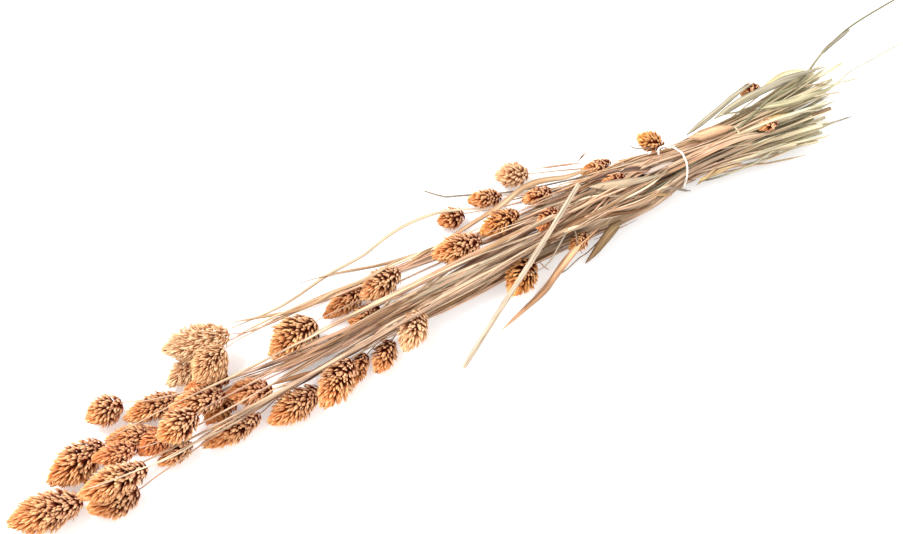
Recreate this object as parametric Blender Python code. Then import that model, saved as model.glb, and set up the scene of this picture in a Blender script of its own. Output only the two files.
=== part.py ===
# A bundle of dried canary grass: flowering stems, loose leaf blades and bare stalks,
# held by one string tie and lying on a flat surface.
# Metres, +Z up. +X runs from the seed heads to the cut butts, +Y goes across the bundle.
# The layout is worked out in millimetres and becomes metres when a mesh is made.

import math

import bpy
import numpy as np

# Sizes, in millimetres
CULM_RADIUS_AT_HEAD = 0.9
CULM_RADIUS_AT_TIE = 1.5
CLEARANCE = 0.35
CULM_SIDES = 5
HEAD_SIDES = 2 * CULM_SIDES
RING_SPACING = 32

# The tie: a string pulled tight round rows of culms, listed from the bottom row up
TIE_X = 155
TIE_Y = -4
SLOT_ROWS = (5, 6, 7, 8, 7, 6, 3)
SLOT_PITCH = 3.35
STRING_RADIUS = 0.7
STRING_SIDES = 6
STRING_RINGS = 28
STRING_LEAN = 0.35

# Towards the heads the bundle swells past the tie, by this slope at its sides. Culms that run
# further than the reach swell less.
SIDE_SWELL = 0.22
SWELL_REACH = 200

# Stems that bow on their way to the tie before they settle: number, how far in +Y, how far up
CULM_BOWS = {1: (-8, 27), 2: (-5, 24), 4: (6, 2), 5: (-24, 12)}

# Heads that lie on top of the culms beside them: number, how far up
HEAD_LIFTS = {28: 11, 35: 11, 36: 7, 37: 13}

# Past the tie the culms fan out to their cut ends
BUTT_LENGTH = 100
BUTT_STAGGER = 15
BUTT_SLANT = 1.0
FAN_SPREAD = 1.9
FAN_RISE = 1.15
FAN_DRIFT = -5

# An oval seed head from its tip to its base: place along it, share of its full radius
HEAD_RINGS = ((0.14, 0.62), (0.36, 0.94), (0.6, 1.0), (0.83, 0.72))

# Flowering stems: x and y of the head's tip, x and y of its base, height of its axis, breadth
FLOWERING_STEMS = (
    (-295, -16, -251, -23, 11, 22),
    (-266, -13, -228, -6, 18, 22),
    (-253, -30, -211, -32, 24, 18),
    (-253, -34, -222, -37, 10, 20),
    (-231, 12, -208, 13, 17, 18),
    (-214, 4, -179, 2, 8, 15),
    (-229, 2, -199, -7, 10, 14),
    (-238, -11, -212, -17, 30, 13),
    (-199, -21, -173, -17, 30, 19),
    (-213, -20, -189, -16, 9, 15),
    (-207, -24, -184, -22, 7, 12),
    (-177, 26, -137, 17, 16, 20),
    (-182, 14, -151, 22, 8, 15),
    (-167, 0, -144, 10, 27, 20),
    (-175, 5, -148, 1, 8, 13),
    (-155, -10, -130, -20, 18, 16),
    (-185, -5, -153, -11, 22, 16),
    (-170, -20, -145, -12, 9, 14),
    (-179, -27, -141, -25, 8, 15),
    (-121, -1, -88, 7, 19, 24),
    (-81, 6, -46, 13, 8, 14),
    (-58, 6, -30, 11, 24, 17),
    (-70, 1, -49, 2, 6, 11),
    (-139, -35, -103, -30, 12, 18),
    (-107, -44, -79, -26, 21, 19),
    (-91, -37, -69, -24, 7, 13),
    (-70, -35, -53, -21, 8, 14),
    (-50, -35, -30, -17, 14, 17),
    (-9, 9, 22, 5, 27, 17),
    (7, 33, 24, 31, 7, 14),
    (30, 37, 50, 30, 7, 12),
    (52, 43, 71, 35, 8, 16),
    (24, 9, 51, 11, 22, 14),
    (58, 18, 77, 16, 16, 11),
    (22, -33, 44, -20, 11, 18),
    (55, -7, 71, 0, 22, 11),
    (68, -21, 83, -17, 6, 10),
    (99, 19, 119, 17, 18, 9),
    (139, 21, 150, 8, 22, 13),
    (210, 17, 223, 15, 24, 9),
    (206, -8, 219, -10, 26, 8),
    (104, 2, 118, 1, 27, 7),
)

# Bare stalks: name, route, radius at its two ends, whether it runs through the tie, and
# whether it is stiff and straight
BARE_STALKS = (
    ("bare_stalk_broken", ((-32, -6, 20),), 1.1, 1.5, True, False),
    (
        "bare_stalk_stray",
        ((226, 5, 24), (240, 5, 24), (254, 10, 23), (271, 18, 22), (297, 26, 20), (332, 30, 18)),
        1.2,
        0.6,
        True,
        False,
    ),
    (
        "bare_stalk_across",
        ((87, 4, 42), (50, -18, 36), (15, -38, 30), (-23, -60, 24)),
        1.5,
        1.7,
        False,
        True,
    ),
    (
        "bare_stalk_thin",
        ((120, 8, 12), (90, 17, 9), (58, 28, 7), (28, 42, 6), (20, 46, 7), (10, 55, 9)),
        0.6,
        0.5,
        False,
        False,
    ),
)

# Leaf blades and sheaths: name, route, full width, steepest slope that the blade follows, colour
LEAVES = (
    (
        "leaf_far_wisp_long",
        ((34, 26), (9, 35), (-16, 39), (-47, 36), (-67, 35), (-99, 30), (-133, 31)),
        2.6,
        0.3,
        "straw",
    ),
    (
        "leaf_far_wisp_short",
        ((16, 18), (-8, 21), (-35, 26), (-53, 31), (-70, 35), (-84, 38)),
        2.2,
        0.3,
        "straw",
    ),
    (
        "leaf_brown_ribbon",
        ((-28, 14), (-52, 12), (-74, 15), (-91, 15), (-111, 20), (-133, 29)),
        4.6,
        0.3,
        "brown",
    ),
    (
        "leaf_pale_strap",
        ((106, 16), (88, 20), (67, 25), (45, 22), (19, 21), (-8, 19)),
        5.0,
        0.25,
        "straw",
    ),
    (
        "leaf_peach_low",
        ((90, -20), (80, -25), (71, -29), (60, -34), (42, -40), (11, -45)),
        6.0,
        0.9,
        "peach",
    ),
    (
        "leaf_olive_low",
        ((106, -20), (93, -26), (85, -29), (76, -31)),
        5.0,
        0.6,
        "olive",
    ),
    (
        "leaf_thin_low",
        ((74, -12), (62, -21), (46, -29), (37, -29)),
        2.0,
        0.6,
        "olive",
    ),
    (
        "leaf_peach_tie",
        ((166, 5), (172, 3), (180, 2), (194, -1)),
        6.6,
        0.2,
        "peach",
    ),
    (
        "leaf_fan_green",
        ((168, 9), (190, 13), (209, 17), (220, 18)),
        3.4,
        0.2,
        "olive",
    ),
    (
        "leaf_fan_folded",
        ((186, 9), (206, 11), (225, 11), (239, 11), (252, 9), (264, 7)),
        4.6,
        0.12,
        "sage",
    ),
    (
        "leaf_long_awn",
        ((214, 1), (234, -3), (248, -5), (263, -6), (276, -2), (300, 0), (321, 2)),
        4.6,
        0.08,
        "sage",
    ),
    (
        "leaf_sage",
        ((95, 3), (106, -2), (120, -6), (136, -9)),
        5.4,
        0.25,
        "sage",
    ),
)
LEAF_THICKNESS = 0.5
LEAF_STEP = 9
LEAF_EDGE = 0.4
AWN_SHARE = 0.45

# The settling of the pile: how many steps, and for how many of them the pieces still fall
SETTLE_STEPS = 560
FALLING_STEPS = 260
FALL_PER_STEP = 0.06
STIFFNESS = 0.35
PAIR_REACH = 2.5
HEAD_HOLD = 0.12

COLOURS = {
    "culm": ((0.62, 0.44, 0.28), 0.6),
    "seed": ((0.78, 0.38, 0.14), 0.8),
    "straw": ((0.66, 0.52, 0.36), 0.65),
    "brown": ((0.52, 0.33, 0.18), 0.7),
    "peach": ((0.80, 0.47, 0.28), 0.65),
    "olive": ((0.42, 0.38, 0.20), 0.7),
    "sage": ((0.62, 0.58, 0.40), 0.65),
    "string": ((0.86, 0.76, 0.68), 0.5),
}


class Strand:
    """A stem, stalk or string: rings along a line, which the settling moves."""

    def __init__(self, name, points, radii, hold, fall, stiff_rings=0, head_rings=0, kind="culm"):
        self.name = name
        self.points = np.array(points, float)
        self.radii = np.array(radii, float)
        self.hold = np.array(hold, float)
        self.fall = np.array(fall, float)
        self.stiff_rings = stiff_rings
        self.head_rings = head_rings
        self.kind = kind


# ---- routes ----


def smooth_run(start, start_slope, end, end_slope, count):
    """Points on a cubic curve, leaving out its start."""
    t = np.linspace(0, 1, count + 1)[1:, None]
    return (
        (2 * t**3 - 3 * t**2 + 1) * start
        + (t**3 - 2 * t**2 + t) * start_slope
        + (3 * t**2 - 2 * t**3) * end
        + (t**3 - t**2) * end_slope
    )


def along(route, spacing):
    """Points along a route, on a smooth line through its own points, at about this spacing."""
    route = np.array(route, float)
    before = np.vstack([2 * route[0] - route[1], route[:-1]])
    after = np.vstack([route[1:], 2 * route[-1] - route[-2]])
    slopes = (after - before) / 2
    points = [route[:1]]
    for i in range(len(route) - 1):
        count = max(1, round(np.linalg.norm(route[i + 1] - route[i]) / spacing))
        points.append(smooth_run(route[i], slopes[i], route[i + 1], slopes[i + 1], count))
    return np.vstack(points)


def tie_slots():
    """The middle of each culm's place at the tie, row by row from the bottom."""
    rows = []
    lowest = 2 * STRING_RADIUS + 2 * CLEARANCE + CULM_RADIUS_AT_TIE
    for row, count in enumerate(SLOT_ROWS):
        height = lowest + row * SLOT_PITCH * math.sin(math.radians(60))
        ys = TIE_Y + (np.arange(count) - (count - 1) / 2) * SLOT_PITCH
        rows.append([np.array((TIE_X, y, height)) for y in ys])
    return rows


def share_slots(wanted):
    """Gives each (height, y) in wanted a place at the tie: low ones below, and each row in order of y."""
    slots = [None] * len(wanted)
    by_height = sorted(range(len(wanted)), key=lambda i: wanted[i][0])
    taken = 0
    for row in tie_slots():
        group = sorted(by_height[taken : taken + len(row)], key=lambda i: wanted[i][1])
        for i, slot in zip(group, row):
            slots[i] = slot
        taken += len(row)
    return slots


def butt_end(slot, number):
    """Where a culm from this place at the tie is cut: staggered, and shorter on the low side of the fan."""
    middle = 14
    stagger = BUTT_STAGGER * math.sin(2.4 * number)
    aside = FAN_SPREAD * (slot[1] - TIE_Y)
    return np.array(
        (
            TIE_X + BUTT_LENGTH + stagger + BUTT_SLANT * aside,
            TIE_Y + FAN_DRIFT + aside,
            middle + FAN_RISE * (slot[2] - middle),
        )
    )


def culm_run(base, leaving, slot, butt, bow=(0, 0)):
    """The culm from the base of its head, through its place at the tie, to its butt."""
    reach = np.linalg.norm(slot - base)
    onward = (butt - slot) / np.linalg.norm(butt - slot) + (slot - base) / reach
    onward /= np.linalg.norm(onward)
    swell = SIDE_SWELL * min(1, SWELL_REACH / reach)
    onward[1] -= swell * (slot[1] - TIE_Y) / (max(SLOT_ROWS) * SLOT_PITCH / 2)
    count = max(2, round(reach / RING_SPACING))
    head_side = smooth_run(base, leaving * min(reach, 80), slot, onward * reach * 0.8, count)
    arch = np.sin(np.linspace(0, math.pi, count + 1)[1:-1])
    head_side[:-1, 1] += bow[0] * arch
    head_side[:-1, 2] += bow[1] * np.sqrt(arch)
    butt_side = smooth_run(slot, onward * BUTT_LENGTH, butt, (butt - slot) * 0.9, 3)
    return head_side, butt_side


def culm_radii(xs, base_x):
    share = np.clip((xs - base_x) / max(TIE_X - base_x, 60), 0, 1)
    return CULM_RADIUS_AT_HEAD + (CULM_RADIUS_AT_TIE - CULM_RADIUS_AT_HEAD) * share


def flowering_stem(number, place, slot):
    tip_x, tip_y, base_x, base_y, height, breadth = place
    height += HEAD_LIFTS.get(number, 0)
    tip = np.array((tip_x, tip_y, height), float)
    base = np.array((base_x, base_y, height), float)
    axis = base - tip
    head = [tip] + [tip + axis * share for share, _ in HEAD_RINGS] + [base]
    head_radii = [0.1] + [breadth / 2 * swell for _, swell in HEAD_RINGS] + [CULM_RADIUS_AT_HEAD]
    leaving = axis / np.linalg.norm(axis)
    if slot is None:
        end = base + np.array((34.0, -6.0, 0.0))
        culm = smooth_run(base, leaving * 30, end, (end - base) * 0.9, 2)
        hold = [HEAD_HOLD] * (len(head) + len(culm))
        fall = [1.0] * len(hold)
    else:
        bow = CULM_BOWS.get(number, (0, 0))
        head_side, butt_side = culm_run(base, leaving, slot, butt_end(slot, number), bow)
        culm = np.vstack([head_side, butt_side])
        hold = [HEAD_HOLD] * len(head) + [0.01] * (len(head_side) - 1) + [0.5] + [0.05] * len(butt_side)
        fall = [1.0] * (len(head) + len(head_side) - 1) + [0.0] * (1 + len(butt_side))
    points = np.vstack([head, culm])
    radii = np.concatenate([head_radii, culm_radii(culm[:, 0], base_x)])
    name = f"flowering_stem_{number:02d}"
    return Strand(name, points, radii, hold, fall, stiff_rings=len(head), head_rings=len(head) - 1)


def bare_stalk(number, row, slot):
    name, route, first_radius, last_radius, tied, straight = row
    route = np.array(route, float)
    if not tied:
        points = along(route, RING_SPACING)
        hold = [0.05] * len(points)
        fall = [1.0] * len(points)
    elif len(route) == 1:
        head_side, butt_side = culm_run(route[0], np.array((1.0, 0, 0)), slot, butt_end(slot, number))
        points = np.vstack([route, head_side, butt_side])
        hold = [0.01] * len(head_side) + [0.5] + [0.05] * len(butt_side)
        fall = [1.0] * len(head_side) + [0.0] * (1 + len(butt_side))
    else:
        onward = along(np.vstack([slot, route]), RING_SPACING)
        start = slot + np.array((-70.0, 0.0, 0.0))
        points = np.vstack([along([start, slot], RING_SPACING), onward[1:]])
        hold = [0.05] * 2 + [0.5] + [0.1] * (len(points) - 3)
        fall = [0.0] * len(points)
    radii = np.linspace(first_radius, last_radius, len(points))
    return Strand(name, points, radii, hold, fall, stiff_rings=len(points) if straight else 0)


def tie_string():
    """The string follows the outline of the rows of culms, leaning a little towards the butts."""
    places = np.array([slot for row in tie_slots() for slot in row])[:, 1:]
    middle = places.mean(axis=0)
    around = CULM_RADIUS_AT_TIE + 2 * CLEARANCE + STRING_RADIUS
    points = []
    for turn in np.arange(STRING_RINGS) / STRING_RINGS * 2 * math.pi:
        outward = np.array((math.cos(turn), math.sin(turn)))
        y, z = places[np.argmax(places @ outward)] + outward * around
        points.append((TIE_X + STRING_LEAN * (z - middle[1]), y, z))
    count = len(points)
    return Strand("tie", points, [STRING_RADIUS] * count, [1.0] * count, [0.0] * count, kind="string")


# ---- settling ----


def segments_of(strands):
    """First and last ring of each stretch between two rings, and the strand that it is in."""
    first, last, owner = [], [], []
    start = 0
    for number, strand in enumerate(strands):
        rings = np.arange(start, start + len(strand.points))
        ends = np.roll(rings, -1) if strand.kind == "string" else rings[1:]
        first.append(rings[: len(ends)])
        last.append(ends)
        owner.append(np.full(len(ends), number))
        start += len(rings)
    return np.concatenate(first), np.concatenate(last), np.concatenate(owner)


def close_pairs(place, radii, first, last, owner):
    """Pairs of stretches of different strands whose boxes come near each other."""
    reach = np.maximum(radii[first], radii[last])[:, None] + PAIR_REACH
    low = np.minimum(place[first], place[last]) - reach
    high = np.maximum(place[first], place[last]) + reach
    near = (low[:, None] < high[None]).all(axis=2) & (low[None] < high[:, None]).all(axis=2)
    near &= owner[:, None] < owner[None]
    return np.nonzero(near)


def closest_shares(start_a, end_a, start_b, end_b):
    """How far along each of two stretches their closest points lie, from 0 to 1."""
    a, b, between = end_a - start_a, end_b - start_b, start_a - start_b
    aa, bb, ab = (a * a).sum(1), (b * b).sum(1), (a * b).sum(1)
    a_between, b_between = (a * between).sum(1), (b * between).sum(1)
    spread = aa * bb - ab * ab
    s = np.where(spread > 1e-6 * aa * bb, (ab * b_between - a_between * bb) / np.maximum(spread, 1e-9), 0.5)
    s = np.clip(s, 0, 1)
    t = np.clip((ab * s + b_between) / bb, 0, 1)
    s = np.clip((ab * t - a_between) / aa, 0, 1)
    return s, t


def push_apart(place, radii, first, last, pairs, mobility):
    """One pass that moves overlapping stretches away from each other. Returns the deepest overlap."""
    one, two = pairs
    a0, a1, b0, b1 = first[one], last[one], first[two], last[two]
    s, t = closest_shares(place[a0], place[a1], place[b0], place[b1])
    s, t = s[:, None], t[:, None]
    apart = place[b0] * (1 - t) + place[b1] * t - place[a0] * (1 - s) - place[a1] * s
    distance = np.linalg.norm(apart, axis=1)
    radius_a = radii[a0] * (1 - s[:, 0]) + radii[a1] * s[:, 0]
    radius_b = radii[b0] * (1 - t[:, 0]) + radii[b1] * t[:, 0]
    depth = radius_a + radius_b + CLEARANCE - distance
    hit = depth > 0
    if not hit.any():
        return 0.0
    a0, a1, b0, b1, s, t = a0[hit], a1[hit], b0[hit], b1[hit], s[hit], t[hit]
    way = apart[hit] / np.maximum(distance[hit], 1e-6)[:, None]
    shift = way * depth[hit, None] / 2
    total = np.zeros_like(place)
    count = np.zeros(len(place))
    for ring, share, sign, scale in (
        (a0, 1 - s, -1, (1 - s) ** 2 + s**2),
        (a1, s, -1, (1 - s) ** 2 + s**2),
        (b0, 1 - t, 1, (1 - t) ** 2 + t**2),
        (b1, t, 1, (1 - t) ** 2 + t**2),
    ):
        np.add.at(total, ring, sign * shift * share / scale)
        np.add.at(count, ring, share[:, 0])
    place += mobility[:, None] * total / np.maximum(count, 1)[:, None] * 1.2
    return depth.max()


def settle(strands):
    """Lets the heads and culms fall on the surface and on each other, with nothing overlapping."""
    rest = np.vstack([strand.points for strand in strands])
    radii = np.concatenate([strand.radii for strand in strands])
    hold = np.concatenate([strand.hold for strand in strands])
    fall = np.concatenate([strand.fall for strand in strands])
    mobility = (hold < 1).astype(float)
    first, last, owner = segments_of(strands)
    starts = np.cumsum([0] + [len(strand.points) for strand in strands])
    before = np.arange(len(rest)) - 1
    after = np.arange(len(rest)) + 1
    before[starts[:-1]] = starts[:-1]
    after[starts[1:] - 1] = starts[1:] - 1
    stiff = [np.arange(a, a + strand.stiff_rings) for a, strand in zip(starts, strands) if strand.stiff_rings]
    move = np.zeros_like(rest)
    for step in range(SETTLE_STEPS):
        if step < FALLING_STEPS:
            move[:, 2] -= FALL_PER_STEP * fall
            move[:, :2] *= 1 - hold[:, None]
            move[:, 2] *= np.where(fall > 0, 1, 1 - hold)
            move += mobility[:, None] * STIFFNESS * ((move[before] + move[after]) / 2 - move)
        place = rest + move
        if step % 4 == 0:
            pairs = close_pairs(place, radii, first, last, owner)
        push_apart(place, radii, first, last, pairs, mobility)
        place[:, 2] = np.maximum(place[:, 2], radii)
        move = place - rest
        for rings in stiff:
            move[rings] = move[rings].mean(axis=0)
    place = rest + move
    for start, strand in zip(starts, strands):
        strand.points = place[start : start + len(strand.points)]


# ---- leaves, laid over the settled pile ----


class Pile:
    """What lies under a leaf: stretches with a radius, or flat ones with a half width."""

    def __init__(self, strands):
        self.starts, self.ends, self.radii, self.flat = [], [], [], []
        for strand in strands:
            for i in range(len(strand.points) - 1):
                self.add(strand.points[i], strand.points[i + 1], strand.radii[i], strand.radii[i + 1], False)

    def add(self, start, end, start_radius, end_radius, flat):
        self.starts.append(start)
        self.ends.append(end)
        self.radii.append((start_radius, end_radius))
        self.flat.append(flat)

    def height_at(self, spots):
        """The top of the pile at each (x, y), with the clearance added."""
        starts, ends = np.array(self.starts), np.array(self.ends)
        radii, flat = np.array(self.radii), np.array(self.flat)
        run = (ends - starts)[:, :2]
        off = spots[:, None] - starts[None, :, :2]
        share = np.clip((off * run).sum(2) / np.maximum((run * run).sum(1), 1e-9), 0, 1)
        away = np.linalg.norm(off - share[..., None] * run, axis=2)
        middle = starts[:, 2] + share * (ends - starts)[:, 2]
        reach = radii[:, 0] * (1 - share) + radii[:, 1] * share + CLEARANCE
        dome = np.sqrt(np.maximum(reach**2 - away**2, 0))
        top = middle + np.where(flat, LEAF_THICKNESS / 2 + CLEARANCE, dome)
        return np.where(away < reach, top, 0.0).max(axis=1)


def leaf_widths(shares, width, has_awn):
    """Half widths along a blade: a short sheath end, the broad middle, and a long point."""
    body = AWN_SHARE if has_awn else 1.0
    swell = np.sin(math.pi * np.clip(shares / body, 0, 1) ** 0.7) ** 0.6
    return np.maximum(swell * width / 2, LEAF_EDGE)


def lay_leaf(row, pile):
    """Stations of a leaf over the pile: its middle line, its sideways direction and its half width."""
    name, route, width, slope, _ = row
    fine = along([(x, y, 0) for x, y in route], 1.5)
    steps = np.linalg.norm(np.diff(fine[:, :2], axis=0), axis=1)
    length = np.concatenate([[0], np.cumsum(steps)])
    forward = np.gradient(fine[:, :2], axis=0)
    forward /= np.linalg.norm(forward, axis=1)[:, None]
    side = np.stack([-forward[:, 1], forward[:, 0]], axis=1)
    half = leaf_widths(length / length[-1], width, name.endswith("awn"))
    under = np.zeros(len(fine))
    for across in (-1, -0.5, 0, 0.5, 1):
        under = np.maximum(under, pile.height_at(fine[:, :2] + side * (across * half)[:, None]))
    count = max(4, round(length[-1] / LEAF_STEP))
    stations = np.linspace(0, length[-1], count + 1)
    spacing = stations[1]
    away = np.abs(stations[:, None] - length[None])
    height = (under[None] - slope * np.maximum(away - spacing, 0)).max(axis=1) + LEAF_THICKNESS / 2
    xs, ys = (np.interp(stations, length, fine[:, k]) for k in (0, 1))
    middle = np.stack([xs, ys, height], axis=1)
    sideways = np.stack([np.interp(stations, length, side[:, k]) for k in (0, 1)], axis=1)
    halves = np.interp(stations, length, half)
    for i in range(len(middle) - 1):
        pile.add(middle[i], middle[i + 1], halves[i], halves[i + 1], True)
    return middle, sideways, halves


# ---- meshes ----


def clear_scene():
    for obj in list(bpy.data.objects):
        bpy.data.objects.remove(obj)


def material(name):
    colour, roughness = COLOURS[name]
    made = bpy.data.materials.new(name)
    made.use_nodes = True
    shader = made.node_tree.nodes["Principled BSDF"]
    shader.inputs["Base Color"].default_value = (*colour, 1)
    shader.inputs["Roughness"].default_value = roughness
    shader.inputs["Metallic"].default_value = 0
    made.diffuse_color = (*colour, 1)
    return made


def ring_frames(points, closed):
    """Two directions across the line at each point, which turn with it and don't twist."""
    if closed:
        forward = np.roll(points, -1, axis=0) - np.roll(points, 1, axis=0)
    else:
        forward = np.gradient(points, axis=0)
    forward /= np.linalg.norm(forward, axis=1)[:, None]
    up = np.array((0.0, 0.0, 1.0)) if not closed else np.array((1.0, 0.0, -STRING_LEAN))
    ups = []
    for way in forward:
        up = up - way * (up @ way)
        up = up / np.linalg.norm(up)
        ups.append(up)
    ups = np.array(ups)
    return ups, np.cross(forward, ups)


def ring_of(middle, up, side, radius, sides, turn=0.0):
    angles = turn + np.arange(sides) / sides * 2 * math.pi
    return middle + radius * (np.cos(angles)[:, None] * up + np.sin(angles)[:, None] * side)


def join_rings(low, high):
    """Faces between two rings of vertex numbers, of the same count or of twice as many below."""
    count = len(high)
    if len(low) == count:
        return [(low[i], low[(i + 1) % count], high[(i + 1) % count], high[i]) for i in range(count)]
    faces = []
    for i in range(count):
        faces.append((low[2 * i], low[2 * i + 1], high[i]))
        faces.append((low[2 * i + 1], low[(2 * i + 2) % len(low)], high[(i + 1) % count], high[i]))
    return faces


def strand_mesh(strand):
    """Vertices and faces of a strand, and how many of the faces are its seed head's."""
    ups, sides = ring_frames(strand.points, strand.kind == "string")
    vertices, faces, rings = [], [], []
    head_faces = 0
    count = len(strand.points)
    for i, (middle, radius) in enumerate(zip(strand.points, strand.radii)):
        if strand.head_rings and i == 0:
            rings.append([0])
            vertices.append(middle)
            continue
        wide = i < strand.head_rings
        around = HEAD_SIDES if wide else STRING_SIDES if strand.kind == "string" else CULM_SIDES
        turn = 0.0 if wide or not strand.head_rings else math.pi / HEAD_SIDES
        start = len(vertices)
        vertices.extend(ring_of(middle, ups[i], sides[i], radius, around, turn))
        rings.append(list(range(start, start + around)))
    for i in range(1, count):
        low, high = rings[i - 1], rings[i]
        if len(low) == 1:
            faces += [(0, high[(j + 1) % len(high)], high[j]) for j in range(len(high))]
        else:
            faces += join_rings(low, high)
        if i == strand.head_rings:
            head_faces = len(faces)
    if strand.kind == "string":
        faces += join_rings(rings[-1], rings[0])
    else:
        faces += end_cap(vertices, rings[-1], strand.points[-1], strand.points[-2], strand.radii[-1], False)
        if not strand.head_rings:
            faces += end_cap(vertices, rings[0], strand.points[0], strand.points[1], strand.radii[0], True)
    return vertices, faces, head_faces


def end_cap(vertices, ring, middle, inner, radius, at_start):
    """A very low cone over a cut end."""
    outward = (middle - inner) / np.linalg.norm(middle - inner)
    centre = len(vertices)
    vertices.append(middle + outward * radius * 0.3)
    count = len(ring)
    faces = [(ring[i], ring[(i + 1) % count], centre) for i in range(count)]
    return [face[::-1] for face in faces] if at_start else faces


def leaf_mesh(middle, sideways, halves):
    """A thin blade with a ridge above and below, and a point at each end."""
    across = np.concatenate([sideways, np.zeros((len(sideways), 1))], axis=1)
    up = np.array((0, 0, LEAF_THICKNESS / 2))
    vertices, faces, rings = [middle[0]], [], [[0]]
    for i in range(1, len(middle) - 1):
        start = len(vertices)
        edge = across[i] * halves[i]
        vertices += [middle[i] + edge, middle[i] + up, middle[i] - edge, middle[i] - up]
        rings.append([start, start + 1, start + 2, start + 3])
    rings.append([len(vertices)])
    vertices.append(middle[-1])
    first, last = rings[1], rings[-2]
    faces += [(0, first[(i + 1) % 4], first[i]) for i in range(4)]
    for low, high in zip(rings[1:-2], rings[2:-1]):
        faces += join_rings(low, high)
    faces += [(rings[-1][0], last[i], last[(i + 1) % 4]) for i in range(4)]
    return vertices, faces


def add_object(name, vertices, faces, materials, second_from, centre):
    """A named object; faces from number second_from on take the second material."""
    mesh = bpy.data.meshes.new(name)
    mesh.from_pydata([tuple((np.array(v) - centre) / 1000) for v in vertices], [], faces)
    for each in materials:
        mesh.materials.append(each)
    if len(materials) > 1:
        for polygon in mesh.polygons:
            polygon.material_index = int(polygon.index >= second_from)
    mesh.shade_smooth()
    mesh.set_sharp_from_angle(angle=math.radians(50))
    mesh.update()
    bpy.context.scene.collection.objects.link(bpy.data.objects.new(name, mesh))


def lay_out():
    """Every strand of the bundle, settled."""
    through_tie = [row for row in FLOWERING_STEMS if row[0] < TIE_X]
    tied_stalks = [row for row in BARE_STALKS if row[4]]
    wanted = [(row[4], (row[1] + row[3]) / 2) for row in through_tie]
    wanted += [(row[1][0][2], row[1][0][1]) for row in tied_stalks]
    slots = share_slots(wanted)
    slot_of = dict(zip(through_tie + tied_stalks, slots))
    strands = [flowering_stem(i + 1, row, slot_of.get(row)) for i, row in enumerate(FLOWERING_STEMS)]
    strands += [bare_stalk(50 + i, row, slot_of.get(row)) for i, row in enumerate(BARE_STALKS)]
    strands.append(tie_string())
    settle(strands)
    return strands


def main():
    clear_scene()
    strands = lay_out()
    pile = Pile(strands)
    leaves = [(row, lay_leaf(row, pile)) for row in LEAVES]

    made = []
    for strand in strands:
        vertices, faces, head_faces = strand_mesh(strand)
        made.append((strand.name, vertices, faces, head_faces, "seed" if head_faces else None, strand.kind))
    for row, (middle, sideways, halves) in leaves:
        vertices, faces = leaf_mesh(middle, sideways, halves)
        made.append((row[0], vertices, faces, 0, None, row[4]))

    everything = np.vstack([np.array(vertices) for _, vertices, *_ in made])
    low, high = everything.min(axis=0), everything.max(axis=0)
    centre = np.array(((low[0] + high[0]) / 2, (low[1] + high[1]) / 2, low[2]))
    finishes = {name: material(name) for name in COLOURS}
    for name, vertices, faces, head_faces, head_finish, finish in made:
        materials = [finishes[head_finish], finishes[finish]] if head_finish else [finishes[finish]]
        add_object(name, vertices, faces, materials, head_faces, centre)


main()
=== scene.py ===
# A bundle of dried canary grass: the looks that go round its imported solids.
import math

import bpy
import numpy as np
from mathutils import Matrix, Vector
from mathutils.bvhtree import BVHTree


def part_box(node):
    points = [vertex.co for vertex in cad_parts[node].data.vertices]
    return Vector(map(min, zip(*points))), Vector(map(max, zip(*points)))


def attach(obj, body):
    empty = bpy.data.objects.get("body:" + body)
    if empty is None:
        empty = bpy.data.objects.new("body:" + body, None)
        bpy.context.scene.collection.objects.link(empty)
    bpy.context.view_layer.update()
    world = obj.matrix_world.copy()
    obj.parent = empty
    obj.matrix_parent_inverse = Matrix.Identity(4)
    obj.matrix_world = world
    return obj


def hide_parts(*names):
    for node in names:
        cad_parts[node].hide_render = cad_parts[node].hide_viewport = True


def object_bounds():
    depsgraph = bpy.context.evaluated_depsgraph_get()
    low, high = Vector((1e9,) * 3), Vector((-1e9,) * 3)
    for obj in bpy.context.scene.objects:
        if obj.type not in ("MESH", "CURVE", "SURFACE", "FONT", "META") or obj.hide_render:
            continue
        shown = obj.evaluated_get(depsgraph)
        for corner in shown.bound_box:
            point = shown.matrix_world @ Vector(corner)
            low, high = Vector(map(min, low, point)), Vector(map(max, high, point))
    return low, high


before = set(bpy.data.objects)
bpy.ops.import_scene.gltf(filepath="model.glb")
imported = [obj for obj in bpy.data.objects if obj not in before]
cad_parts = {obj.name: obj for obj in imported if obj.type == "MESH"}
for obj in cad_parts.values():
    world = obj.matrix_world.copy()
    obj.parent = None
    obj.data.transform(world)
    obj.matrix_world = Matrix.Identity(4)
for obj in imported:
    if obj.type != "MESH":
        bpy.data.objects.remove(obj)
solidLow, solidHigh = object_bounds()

mm = 0.001
goldenTurn = math.pi * (3 - math.sqrt(5))


# reading the solids: every line and size below starts from them

def joinedSpots(node):
    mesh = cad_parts[node].data
    numbers, spots, index = {}, [], []
    for vertex in mesh.vertices:
        key = tuple(round(value * 1e5) for value in vertex.co)
        if key not in numbers:
            numbers[key] = len(spots)
            spots.append(np.array(vertex.co))
        index.append(numbers[key])
    links = [set() for _ in spots]
    for edge in mesh.edges:
        a, b = (index[i] for i in edge.vertices)
        if a != b:
            links[a].add(b)
            links[b].add(a)
    return np.array(spots), links


def ringsFromEnd(node, reach):
    # a flowering stem is read from its cut end, which is its highest x, and the rest from their far ends
    spots, links = joinedSpots(node)
    if node.startswith("flowering"):
        away = spots[:, 0]
    else:
        away = np.linalg.norm(spots - spots.mean(axis=0), axis=1)
    start = spots[away.argmax()]
    ring = set(np.nonzero(np.linalg.norm(spots - start, axis=1) < reach)[0])
    seen, rings = set(ring), []
    while ring:
        rings.append(spots[sorted(ring)])
        ring = {b for a in ring for b in links[a]} - seen
        seen |= ring
    return rings


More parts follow.
